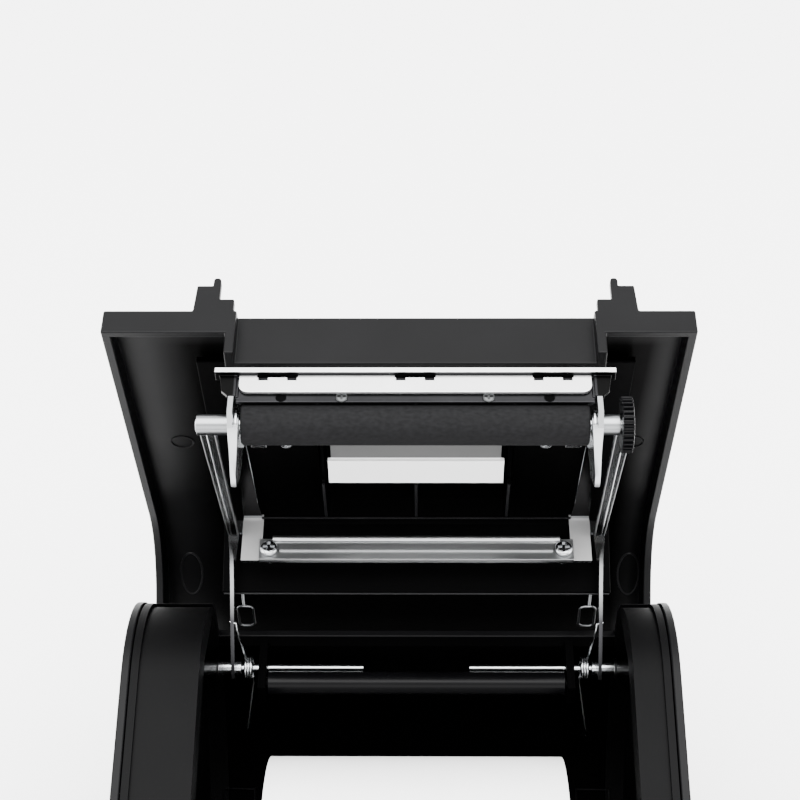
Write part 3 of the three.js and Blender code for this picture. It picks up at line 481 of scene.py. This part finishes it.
def platen_rubber():
    """The ground rubber sleeve, chamfered at both ends."""
    bm = bmesh.new()
    chamfer = 0.35
    bore = BUSH_R + 0.3
    left, right = PLATEN_LOW.x, PLATEN_HIGH.x
    lathe(bm, [(left, bore), (left, PLATEN_R - chamfer), (left + chamfer, PLATEN_R),
               (right - chamfer, PLATEN_R), (right, PLATEN_R - chamfer), (right, bore)],
          (0, PLATEN_Y, PLATEN_Z), segments=96)
    add_piece("platen_rubber", bm, LID_FRAME, "platen", RUBBER, ["platen_roller"])


def platen_washers():
    """A steel washer between each end of the rubber and the frame's cheek."""
    gap, thickness, radius, bore = 0.9, 0.5, 3.75, BUSH_R + 0.06
    for name, side, end in (("left", -1, PLATEN_LOW.x), ("right", 1, PLATEN_HIGH.x)):
        bm = bmesh.new()
        near = end + side * gap
        far = near + side * thickness
        lathe(bm, [(near, bore), (near, radius), (far, radius), (far, bore)],
              (0, PLATEN_Y, PLATEN_Z), segments=64)
        add_piece(f"platen_washer_{name}", bm, LID_FRAME, "lid", CHROME, edge=0.1)


def platen_gear_hub():
    """The raised hub and ring on the outer face of the platen's gear."""
    face = local_box("platen_gear", LID_FRAME)[1].x
    root = face - 0.05
    bm = bmesh.new()
    lathe(bm, [(root, 1.95), (face + 0.35, 1.95), (face + 0.35, 3), (root, 3.2)], (0, PLATEN_Y, PLATEN_Z))
    lathe(bm, [(root, 4.6), (face + 0.2, 4.7), (face + 0.2, 5.1), (root, 5.2)], (0, PLATEN_Y, PLATEN_Z))
    add_piece("platen_gear_hub", bm, LID_FRAME, "platen", GLOSS_BLACK, edge=0.08)


def knife_edge_bar():
    """The bright ground bar along the holder's front edge."""
    low, high = local_box("knife_holder", LID_FRAME)
    bm = bmesh.new()
    block(bm, (low.x, low.y - 0.25, high.z - 1.25), (high.x, low.y + 0.02, high.z + 0.05))
    add_piece("knife_edge_bar", bm, LID_FRAME, "lid", KNIFE, edge=0.1)


def bracket_screws():
    """Two small screws and two eyelets along the strip under the knife; each eyelet is closed by a black
    disc, painted shade standing in for its hole.
    """
    front = local_box("knife_holder", LID_FRAME)[0].y + 2.2
    height, screw_offset, hole_offset = 0.9, 17.2, 31.4
    for i, side in enumerate((-1, 1)):
        bm = bmesh.new()
        pan_head(bm, (MECH + side * screw_offset, front, height), "Y", 1.5, 0.6, -1)
        add_piece(f"bracket_screw_{i + 1}", bm, LID_FRAME, "lid", OILED_STEEL)
    for i, side in enumerate((-1, 1)):
        bm = bmesh.new()
        centre = (MECH + side * hole_offset, front, height)
        lathe(bm, [(0.02, 0.75), (-0.08, 0.8), (-0.08, 1.25), (0.02, 1.3)], centre, "Y", 32)
        # black disc: painted shade where the eyelet's hole is
        disc(bm, [(0.01, 0), (0.01, 0.8), (-0.03, 0.8), (-0.03, 0)], centre, "Y", 32)
        add_piece(f"bracket_hole_{i + 1}", bm, LID_FRAME, "lid", INNER)


def rail_screws():
    """The two cross-head screws that hold the rail on its flange."""
    head, shank_r = 1.3, 1
    for side in ("left", "right"):
        low, high = local_box(f"rail_screw_{side}", LID_FRAME)
        centre = ((low.x + high.x) / 2, low.y + head, (low.z + high.z) / 2)
        shank = high.y - centre[1]
        bm = bmesh.new()
        pan_head(bm, centre, "Y", (high.x - low.x) / 2, head, -1)
        disc(bm, [(0, 0), (0, shank_r), (shank, shank_r), (shank, 0)], centre, "Y", 24)
        add_piece(f"rail_screw_head_{side}", bm, LID_FRAME, "lid", CHROME, [f"rail_screw_{side}"])


def tie_strips():
    """Short strips behind the platen's ends, each held by a screw."""
    face, thickness = 19.6, 0.7
    for name, side in (("left", -1), ("right", 1)):
        bm = bmesh.new()
        xs = sorted((MECH + side * 42.6, MECH + side * 38.6))
        block(bm, (xs[0], -84, face), (xs[1], -75.6, face + thickness))
        add_piece(f"tie_strip_{name}", bm, LID_FRAME, "lid", CHROME, edge=0.15)
        bm = bmesh.new()
        pan_head(bm, (MECH + side * 33.5, -77.5, face), "Z", 1.7, thickness, -1)
        add_piece(f"tie_screw_{name}", bm, LID_FRAME, "lid", CHROME)


def roof_height(y):
    """The underside of the lid's flat top at `y`: 23.9 mm at its front, climbing 18 mm over 96 mm."""
    return 23.9 + (120 + y) * 18 / 96


def rear_curve(t):
    """The inside of the lid's curved back, from 0 at its top to 1 at its lower edge."""
    points = ((-24, 41.9), (-4, 45.6), (21.7, 37.7), (21.7, 14))
    shares = ((1 - t) ** 3, 3 * t * (1 - t) ** 2, 3 * t * t * (1 - t), t ** 3)
    return [sum(share * point[i] for share, point in zip(shares, points)) for i in range(2)]


def ejector_marks():
    """Faint round witness marks left by the mould's pins, as fine raised rims on the lid's inside; the two
    on the curved back are drawn in the lighter edge colour, a painted highlight.
    """
    turns = 36
    angles = [2 * math.pi * step / turns for step in range(turns)]
    roof_rows = [-58.4 + 3 * math.sin(angle) for angle in angles]
    roof = [(3 * math.cos(angle), y, roof_height(y) - 0.02) for angle, y in zip(angles, roof_rows)]
    curve = [(3.2 * math.cos(angle), *rear_curve(0.52 + 0.115 * math.sin(angle))) for angle in angles]
    marks = ((-59.5, roof, 0.24, HOUSING), (62.5, roof, 0.24, HOUSING),
             # the curved-back rims take the lighter edge colour: painted highlight
             (-63.6, curve, 0.34, EDGE_HIGHLIGHT), (67.4, curve, 0.34, EDGE_HIGHLIGHT))
    for i, (x, rim, thickness, look) in enumerate(marks):
        bm = bmesh.new()
        wire(bm, [(x + across, y, z) for across, y, z in rim], thickness, 8, closed=True)
        add_piece(f"ejector_mark_{i + 1}", bm, LID_FRAME, "lid", look)


def liner_edges():
    """The rounded lower edges of the liner's ribs and of the liner itself, drawn a little lighter as a
    painted highlight along the edges.
    """
    for i, offset in enumerate((-25, 0, 25)):
        bm = bmesh.new()
        x = MECH + offset
        wire(bm, [(x, -100.5, 22.2), (x, -84, 23), (x, -78, 23.4)], 0.38, 8)
        wire(bm, [(x, -54, 24.4), (x, -50, 24.9), (x, -36, 27), (x, -34.5, 29.5)], 0.38, 8)
        add_piece(f"rib_edge_{i + 1}", bm, LID_FRAME, "lid", EDGE_HIGHLIGHT)
    low, high = local_box("lid_liner", LID_FRAME)
    inset, back = 0.4, high.y - 1.4
    bm = bmesh.new()
    wire(bm, [(low.x + inset, back, low.z), (high.x - inset, back, low.z)], 0.25, 8)
    add_piece("liner_lower_edge", bm, LID_FRAME, "lid", EDGE_HIGHLIGHT)


def arm_front(y):
    """How high the front flange of a hinge arm stands at `y`."""
    return 1.6 + (y + 104) * 19.1 / 69


def arm_lips():
    """A bright bead between two duller rolled edges, along the front flanges of the hinge arms."""
    lips = (("outer", 51.75, 51.75, 0.16, DULL_STEEL), ("bead", 50.2, 50.9, 0.24, CHROME),
            ("inner", 48.25, 49.2, 0.2, DULL_STEEL))
    for side_name, side in (("left", -1), ("right", 1)):
        for name, top, foot, radius, look in lips:
            bm = bmesh.new()
            wire(bm, [(MECH + side * top, -103.6, arm_front(-103.6)),
                      (MECH + side * (top + foot) / 2, -70, arm_front(-70)),
                      (MECH + side * foot, -36, arm_front(-36))], radius, 8)
            add_piece(f"arm_{name}_{side_name}", bm, LID_FRAME, "lid", look)


def strip_lips():
    """Bright cut edges along the tapered strips behind the platen."""
    edge = ((44.75, -91, 20), (44.7, -88, 20.4), (43.55, -42.5, 26.6))
    for name, side in (("left", -1), ("right", 1)):
        bm = bmesh.new()
        wire(bm, [(MECH + side * x, y, z) for x, y, z in edge], 0.17, 8)
        add_piece(f"strip_lip_{name}", bm, LID_FRAME, "lid", CHROME)


def shelf_edge():
    """The narrow rear edge of the shelf between the frame's two flats."""
    bm = bmesh.new()
    block(bm, (MECH - 42.9, -36.3, 26), (MECH + 42.9, -35.7, 26.5))
    add_piece("shelf_edge", bm, LID_FRAME, "lid", DARK_STEEL, edge=0.1)


def liner_loops():
    """Small wire loops hung from the liner's lower edge, beside the hinge arms."""
    half_width, half_height, corner, height, steps = 2.2, 4.9, 1.5, 11.6, 24
    for name, side in (("left", -1), ("right", 1)):
        path = []
        for step in range(steps):
            angle = 2 * math.pi * (step + 0.5) / steps
            x = math.copysign(half_width - corner, math.cos(angle)) + corner * math.cos(angle)
            y = math.copysign(half_height - corner, math.sin(angle)) + corner * math.sin(angle)
            path.append((MECH + side * (48.3 + x), y - 9, height))
        bm = bmesh.new()
        wire(bm, path, 0.34, 10, closed=True)
        wire(bm, [(MECH + side * 48.6, -13.6, height), (MECH + side * 48.9, -16.4, 14)], 0.4, 10)
        add_piece(f"liner_loop_{name}", bm, LID_FRAME, "lid", DULL_STEEL)


def retint(look, colour, *limits):
    """Mixes `colour` into a finish where every limit holds, and returns how much of it there is.

    A limit is (output of the coordinate node, axis, value where it is off, value where it is on).
    """
    tree = look.node_tree
    shader = tree.nodes["Principled BSDF"]
    place = tree.nodes.new("ShaderNodeTexCoord")
    inside = None
    for output, axis, off, on in limits:
        split = tree.nodes.new("ShaderNodeSeparateXYZ")
        tree.links.new(place.outputs[output], split.inputs["Vector"])
        step = tree.nodes.new("ShaderNodeMapRange")
        step.inputs["From Min"].default_value = off
        step.inputs["From Max"].default_value = on
        tree.links.new(split.outputs[axis], step.inputs["Value"])
        if inside:
            both = tree.nodes.new("ShaderNodeMath")
            both.operation = "MULTIPLY"
            tree.links.new(inside, both.inputs[0])
            tree.links.new(step.outputs["Result"], both.inputs[1])
            inside = both.outputs["Value"]
        else:
            inside = step.outputs["Result"]
    mix = tree.nodes.new("ShaderNodeMix")
    mix.data_type = "RGBA"
    mix.inputs["B"].default_value = (*colour, 1)
    shades = shader.inputs["Base Color"].links[0].from_socket
    tree.links.new(inside, mix.inputs["Factor"])
    tree.links.new(shades, mix.inputs["A"])
    tree.links.new(mix.outputs["Result"], shader.inputs["Base Color"])
    return inside


def drive(look, socket, share, off, on):
    """Sets a shader input to `off` or `on` by `share`, a value from 0 to 1."""
    tree = look.node_tree
    level = tree.nodes.new("ShaderNodeMapRange")
    level.inputs["To Min"].default_value = off
    level.inputs["To Max"].default_value = on
    tree.links.new(share, level.inputs["Value"])
    tree.links.new(level.outputs["Result"], tree.nodes["Principled BSDF"].inputs[socket])


def label_finish_with_painted_shadow():
    """The label plate: white below its step, with painted shade above it where the platen shades the plate.
    """
    look = finish_of("label_plate", (0.82, 0.82, 0.82), 0.5, contrast=0.02, grain=3000, bump=0.05,
                     specular=0.4)
    low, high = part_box("label_plate")
    step_share, drop, blur = 0.52, 0.8 * MM, 0.1 * MM
    edge = low[2] + (high[2] - low[2]) * step_share - drop
    # painted shade: the plate's upper part is darkened
    retint(look, (0.05, 0.05, 0.05), ("Object", "Z", edge - blur, edge + blur))
    return look


def frame_finish_with_painted_shade():
    """Bright plate on the platen frame, with painted shade darkening its strips and arms, and matt flats by
    the rail.
    """
    look = finish_of("frame_steel", (0.42, 0.43, 0.44), 0.2, 1.0, grain=900, stretch=(1, 1, 0.15),
                     bump=0.12)
    # painted shade and painted dark reflection: the strips behind the platen, the arms below the flats, and
    # the arms near the hinge
    retint(look, (0.0045, 0.0045, 0.005),
           ("Object", "Y", HINGE.y + 17.7 * MM, HINGE.y + 18.3 * MM),
           ("Object", "Z", row_z(36), row_z(36.3)))
    retint(look, (0.2, 0.203, 0.207), ("Object", "Z", row_z(33.5), row_z(32.5)))
    retint(look, (0.03, 0.03, 0.032), ("Object", "Z", row_z(21), row_z(15)))
    # the flats on either side of the rail: only their upward faces
    flat = retint(look, (0.3, 0.3, 0.3),
                  ("Object", "Z", row_z(36.5), row_z(36.2)),
                  ("Object", "Z", row_z(34.3), row_z(34.5)),
                  ("Object", "X", row_x(-48.2), row_x(-48)),
                  ("Object", "X", row_x(48.2), row_x(48)),
                  ("Normal", "Z", 0.4, 0.6))
    drive(look, "Metallic", flat, 1, 0.25)
    return look


def bushing_finish_with_painted_shade():
    """Turned steel, with painted shade along its underside."""
    look = finish_of("bushing_steel", (0.2, 0.205, 0.21), 0.3, 1.0, grain=1500, stretch=(0.2, 1, 1),
                     bump=0.12)
    # painted shade: faces turned downwards are darkened
    retint(look, (0.012, 0.012, 0.013), ("Normal", "Z", 0.05, -0.45))
    return look


def holder_finish_with_painted_shade():
    """The knife holder: dark plate, with painted shade on its two end flanges."""
    look = finish_of("holder_steel", (0.016, 0.016, 0.017), 0.3, 1.0, grain=2200, bump=0.15)
    for side in (-1, 1):
        # painted shade on the end flanges
        retint(look, (0.003, 0.003, 0.003), ("Object", "X", row_x(side * 42.5), row_x(side * 42.7)))
    return look


def lid_finish_with_painted_shade():
    """Moulded black; inside the lid around the mechanism it carries painted shade, darker and less shiny.
    """
    look = finish_of("lid_black", (0.0018, 0.0018, 0.002), 0.42, grain=3200, bump=0.35, depth=0.05)
    # painted shade on the lid's inner faces around the mechanism
    inside = retint(look, (0.0003, 0.0003, 0.0003),
                    ("Normal", "Y", 0.05, -0.15),
                    ("Object", "X", -63 * MM, -52 * MM),
                    ("Object", "X", 67 * MM, 62 * MM),
                    ("Object", "Z", row_z(115), row_z(108)))
    drive(look, "Specular IOR Level", inside, 0.074, 0.012)
    return look


# ---- hinge ----


def torsion_springs():
    """Wound springs on the hinge pins: the inner leg rests on the base, the outer one lifts the lid."""
    wire_r = 0.43
    radius = 3.4 - wire_r
    steps = 24                      # per turn
    count = int(3.5 * steps)        # three and a half turns
    for name, side in (("left", -1), ("right", 1)):
        low, high = local_box(f"torsion_spring_{name}", BASE_FRAME)
        inner, outer = (high.x, low.x) if side < 0 else (low.x, high.x)
        first = inner + side * wire_r
        last = outer - side * wire_r
        coil = []
        for i in range(count + 1):
            angle = 2 * math.pi * i / steps
            coil.append((first + (last - first) * i / count, -radius * math.cos(angle),
                         -radius * math.sin(angle)))
        bm = bmesh.new()
        wire(bm, coil, wire_r)
        piece = add_piece(f"spring_coil_{name}", bm, BASE_FRAME, "", CHROME,
                          [f"torsion_spring_{name}"])
        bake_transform(piece)
        bm = bmesh.new()
        wire(bm, [coil[0], (first, -radius - 0.1, -2), (first + side * 0.6, -radius - 1.4, -6),
                  (first + side * 1.5, -radius - 3.4, -12), (first + side * 2.5, -radius - 5.6, -18),
                  (first + side * 3.1, -radius - 6, -22), (first + side * 2.4, -radius - 5, -23.4)], wire_r)
        add_piece(f"spring_lower_leg_{name}", bm, BASE_FRAME, "base", CHROME)
        bm = bmesh.new()
        reach = MECH + side * 50.3
        wire(bm, [coil[-1], (last, radius + 0.1, 1.4), (last + side * 0.3, radius + 0.5, 4),
                  (reach - side * 0.4, radius + 1, 9), (reach, radius + 1.4, 13),
                  (reach + side * 0.2, radius + 2.6, 14.2), (reach + side * 1.9, radius + 3, 14.4)], wire_r)
        add_piece(f"spring_upper_leg_{name}", bm, BASE_FRAME, "lid", CHROME)


def hinge_clips():
    """Dark retaining rings on the hinge pins, outside the arms."""
    bore, radius = 2.02, 2.9
    for name, side in (("left", -1), ("right", 1)):
        near, far = sorted((MECH + side * 55.9, MECH + side * 56.6))
        bm = bmesh.new()
        lathe(bm, [(near, bore), (near, radius), (far, radius), (far, bore)], (0, 0, 0))
        add_piece(f"hinge_clip_{name}", bm, BASE_FRAME, "base", DARK_STEEL, edge=0.1)


# ---- paper ----


def paper_roll():
    """The wound roll: slightly uneven layers on both ends and one loose end lying on the outside."""
    low, high = local_box("paper_roll", BASE_FRAME)
    centre = (0, (low.y + high.y) / 2, (low.z + high.z) / 2)
    outer = (high.y - low.y) / 2
    inner = local_box("roll_core", BASE_FRAME)[1].y - centre[1] + 0.3
    layers, wobble, rounding = 60, 0.09, 0.1

    def end_face(x, sign):
        face = []
        for i in range(layers + 1):
            radius = inner + (outer - rounding - inner) * i / layers
            wander = wobble * math.sin(i * 2.4) * math.sin(i * 0.37 + 1)
            face.append((x - sign * (0.12 - wander), radius))
        return face
    outside = [(low.x + rounding, outer), (high.x - rounding, outer)]
    profile = end_face(low.x, -1) + outside + end_face(high.x, 1)[::-1]
    bm = bmesh.new()
    lathe(bm, profile, centre, segments=128)
    add_piece("wound_paper", bm, BASE_FRAME, "roll", PAPER, ["paper_roll"])
    bm = bmesh.new()
    degrees = range(-100, -28, 4)
    sheet = [(outer + 0.02, a) for a in degrees] + [(outer + 0.09, a) for a in reversed(degrees)]
    outline = [(centre[1] + r * math.cos(math.radians(a)), centre[2] + r * math.sin(math.radians(a)))
               for r, a in sheet]
    prism(bm, outline, "X", low.x + 0.15, high.x - 0.15)
    add_piece("paper_loose_end", bm, BASE_FRAME, "roll", PAPER)


def bin_pockets():
    """Raised rims low on the bin's rear wall, on either side of the roll."""
    for name, xs in (("bin_pocket_left", (-53.7, -44.6)), ("bin_pocket_right", (51.8, 61.6))):
        climb = [(-12.3, -48.8), (-18.5, -53.6), (-25.2, -57)]
        ring = [(xs[0], y, z) for y, z in climb] + [(xs[1], y, z) for y, z in reversed(climb)]
        bm = bmesh.new()
        wire(bm, ring, 0.45, 8, closed=True)
        add_piece(name, bm, BASE_FRAME, "base", HOUSING)


# ---- front cover and back ----


def feed_symbol():
    """A plain raised arrow on the feed button."""
    low, high = local_box("feed_button", BASE_FRAME)
    x, z = (low.x + high.x) / 2, (low.z + high.z) / 2
    bm = bmesh.new()
    front, back = low.y + 0.02, low.y + 0.3
    prism(bm, [(x - 2, z - 0.4), (x + 2, z - 0.4), (x, z + 2.2)], "Y", front, back)
    prism(bm, [(x - 2, z - 1.9), (x + 2, z - 1.9), (x + 2, z - 1.2), (x - 2, z - 1.2)], "Y", front, back)
    add_piece("feed_symbol", bm, BASE_FRAME, "feed", LABEL)


def status_lights():
    """Three small domed lights on the lens in the front cover."""
    low, high = local_box("status_lens", BASE_FRAME)
    dome = [(0, 0), (0, 1.1), (-0.1, 1.05), (-0.22, 0.8), (-0.3, 0.4), (-0.32, 0)]
    pitch = 4.2
    for i, look in enumerate(LIGHTS):
        centre = ((low.x + high.x) / 2 + (i - 1) * pitch, low.y + 0.05, (low.z + high.z) / 2)
        bm = bmesh.new()
        disc(bm, dome, centre, "Y", 32)
        add_piece(f"status_light_{i + 1}", bm, BASE_FRAME, "base", look)


def socket_contacts():
    """Metal contacts inside the sockets at the back."""
    rows = {"power_socket": 3, "network_socket": 8, "drawer_socket": 6, "usb_socket": 4}
    wall, root = 3, -1
    pin = [(-4, 0), (-4, 0.55), (4, 0.55), (4.4, 0.3), (4.4, 0)]
    for socket, count in rows.items():
        low, high = local_box(socket, BASE_FRAME)
        x, z = (low.x + high.x) / 2, (low.z + high.z) / 2
        pitch = (high.x - low.x - 2 * wall) / (count - 1)
        bm = bmesh.new()
        for i in range(count):
            if socket == "power_socket":
                angle = math.radians(210 + 120 * i)
                disc(bm, pin, (x + 2 * math.cos(angle), 4, z + 2 * math.sin(angle)), "Y", 16)
            else:
                along = low.x + wall + pitch * i
                wire(bm, [(along, root, z + 1.1), (along, 4, z + 1.2), (along, 7, z + 1.2)], 0.22, 8)
        if socket == "usb_socket":
            block(bm, (low.x + wall, root, z - 0.9), (high.x - wall, 7.5, z + 0.9))
        add_piece(f"{socket}_contacts", bm, BASE_FRAME, "base", BRASS, edge=0.08)


def housing_screws():
    """Four screws under the base and a blank rating plate on its back."""
    underside = local_box("bottom_plate", BASE_FRAME)[0].z
    for i, (x, y) in enumerate(((-40, -140), (40, -140), (-40, -8), (40, -8))):
        bm = bmesh.new()
        pan_head(bm, (x, y, underside + 0.02), "Z", 3, 1.2, -1)
        add_piece(f"base_screw_{i + 1}", bm, BASE_FRAME, "base", DARK_STEEL)
    back = local_box("base_shell", BASE_FRAME)[1].y
    bm = bmesh.new()
    block(bm, (-30, back - 0.05, -60), (30, back + 0.12, -34))
    add_piece("rating_plate", bm, BASE_FRAME, "base", LABEL, edge=0.06)


platen_rubber()
platen_washers()
platen_gear_hub()
knife_edge_bar()
bracket_screws()
rail_screws()
tie_strips()
ejector_marks()
liner_edges()
arm_lips()
strip_lips()
shelf_edge()
liner_loops()
torsion_springs()
hinge_clips()
paper_roll()
bin_pockets()
feed_symbol()
status_lights()
socket_contacts()
housing_screws()
BUSHING = bushing_finish_with_painted_shade()
NODE_LOOKS = {
    "label_plate": label_finish_with_painted_shadow(), "fixed_knife": KNIFE, "cheek_left": CHEEK, "cheek_right": CHEEK,
    "platen_frame": frame_finish_with_painted_shade(), "knife_holder": holder_finish_with_painted_shade(), "bushing_left": BUSHING,
    "bushing_right": BUSHING, "cross_rail": RAIL, "lid_shell": lid_finish_with_painted_shade(),
}
for node_name, look in NODE_LOOKS.items():
    nodes[node_name].data.materials[0] = look
